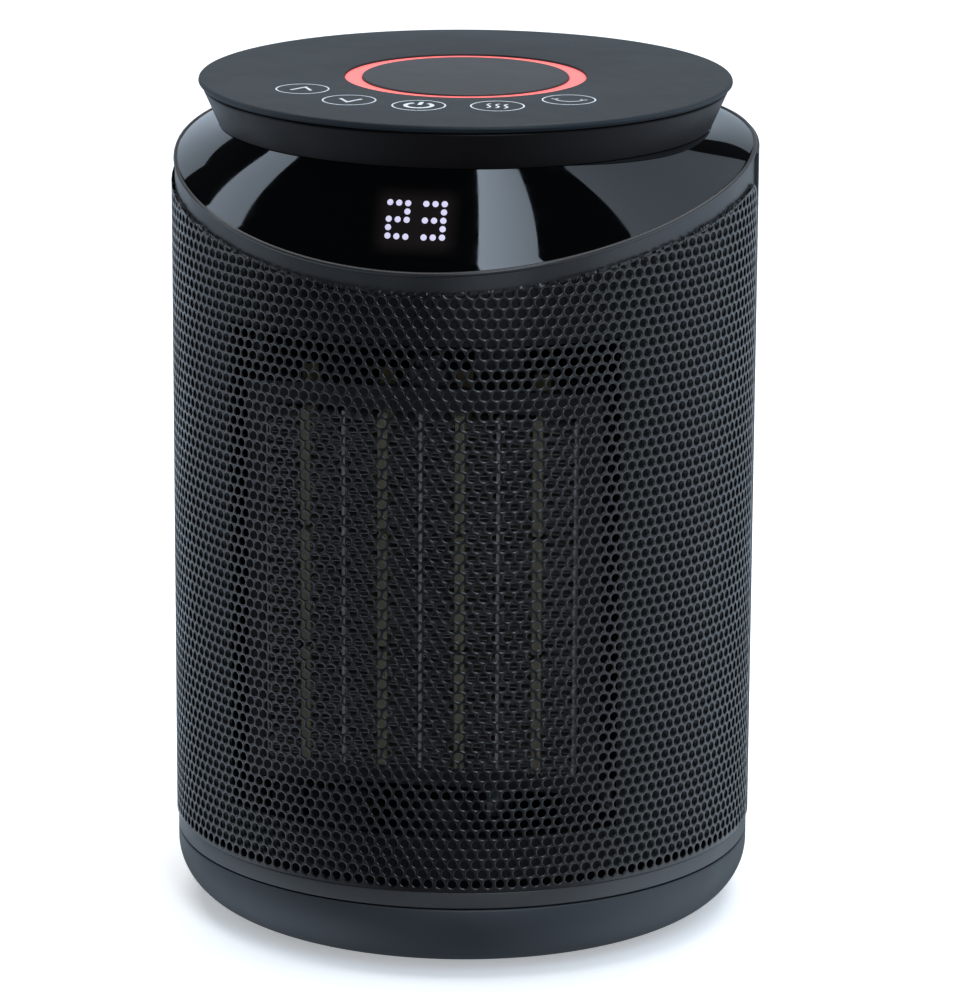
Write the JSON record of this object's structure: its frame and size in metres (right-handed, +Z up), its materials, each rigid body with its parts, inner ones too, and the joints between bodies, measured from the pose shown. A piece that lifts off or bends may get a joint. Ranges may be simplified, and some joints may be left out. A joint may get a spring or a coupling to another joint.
{
  "type": "ceramic space heater",
  "caption": "Upright round fan heater that swivels on a low bowl base, with a perforated front grille, a glossy sloping display collar and a flat touch-key cap with a light ring.",
  "frame": {"origin": "on the floor, under the middle of the body, on the swivel axis", "axes": "+Z up along the swivel axis, -Y out of the front grille, +X to the right of someone facing the heater's front from outside"},
  "size_m": [0.18, 0.18, 0.2605],
  "materials": {
    "base_plastic": "matte",
    "ring_plastic": "satin",
    "satin_black": "satin",
    "gloss_black": "high gloss",
    "cap_soft": "soft touch",
    "skirt_plastic": "satin",
    "shell_plastic": "fine grained",
    "grille_metal": "semi-gloss black paint",
    "led_glow": "lit translucent",
    "display_glow": "lit",
    "rubber": "matte",
    "steel": "plain",
    "aluminium": "plain",
    "ceramic": "matt cream insulation",
    "heat_plastic": "heat-proof nylon",
    "nylon": "natural",
    "dark_plastic": "moulded",
    "board": "solder mask",
    "part_black": "moulded",
    "copper": "enamelled wire",
    "brass": "plain",
    "filter_mesh": "woven mesh",
    "ribbon": "ribbon"
  },
  "bodies": {
    "base": {"base_bowl": "base_plastic", "rubber_feet": "rubber", "base_deck": "dark_plastic", "base_screws": "steel", "glide_ring": "nylon", "pivot_hub": "nylon", "pivot_retainer": "steel", "swivel_gear": "nylon"},
    "upper_body": {"swivel_motor": "steel", "lower_ring": "ring_plastic", "chassis_floor": "dark_plastic", "upper_chassis": "dark_plastic", "chassis_posts": "dark_plastic", "post_screws": "steel", "front_frame": "satin_black", "front_grille": "grille_metal", "rear_shell": "shell_plastic", "shell_screws": "steel", "dust_filter": "filter_mesh", "gloss_fascia": "gloss_black", "cap_skirt": "skirt_plastic", "touch_cap": "cap_soft", "led_ring": "led_glow", "centre_disc": "cap_soft", "touch_board": "board", "touch_springs": "steel", "ring_leds": "display_glow", "display_board": "board", "display_leds": "display_glow", "power_board": "board", "board_standoffs": "nylon", "relays": "part_black", "filter_capacitor": "part_black", "supply_transformer": "steel", "ribbon_cable": "ribbon", "tip_switch_box": "part_black", "heater_frame": "heat_plastic", "ptc_bars": "ceramic", "fin_packs": "aluminium", "ptc_separators": "aluminium", "side_plates": "aluminium", "heater_terminals": "brass", "thermal_cutout": "part_black", "fan_duct": "heat_plastic", "motor_housing": "steel", "motor_bushes": "brass", "stator_core": "steel", "stator_coils": "copper", "motor_bracket": "dark_plastic", "switch_frame": "part_black", "cord_gland": "rubber"},
    "pinion": {"drive_pinion": "nylon"},
    "fan": {"fan_impeller": "dark_plastic", "motor_shaft": "steel", "motor_rotor": "steel"},
    "rocker": {"power_rocker": "gloss_black"},
    "tilt_bob": {"tilt_pendulum": "brass"}
  },
  "joints": [
    {"name": "swivel", "type": "hinge", "parent": "base", "child": "upper_body", "pos_m": [0, 0, 0.025], "axis": [0, 0, 1], "range_deg": [-35, 35]},
    {"name": "pinion_spin", "type": "hinge", "parent": "upper_body", "child": "pinion", "pos_m": [0, -0.035, 0.0205], "axis": [0, 0, 1], "range_deg": [-142, 142]},
    {"name": "fan_spin", "type": "hinge", "parent": "upper_body", "child": "fan", "pos_m": [0, -0.029, 0.116], "axis": [0, 1, 0], "continuous": true},
    {"name": "rocker_tilt", "type": "hinge", "parent": "upper_body", "child": "rocker", "pos_m": [0, 0.0846, 0.052], "axis": [1, 0, 0], "range_deg": [0, 16]},
    {"name": "pendulum_swing", "type": "hinge", "parent": "upper_body", "child": "tilt_bob", "pos_m": [-0.027, -0.053, 0.0455], "axis": [1, 0, 0], "range_deg": [-15, 15]}
  ],
  "couplings": [
    {"joint": "pinion_spin", "follows": "swivel", "ratio": 4}
  ]
}
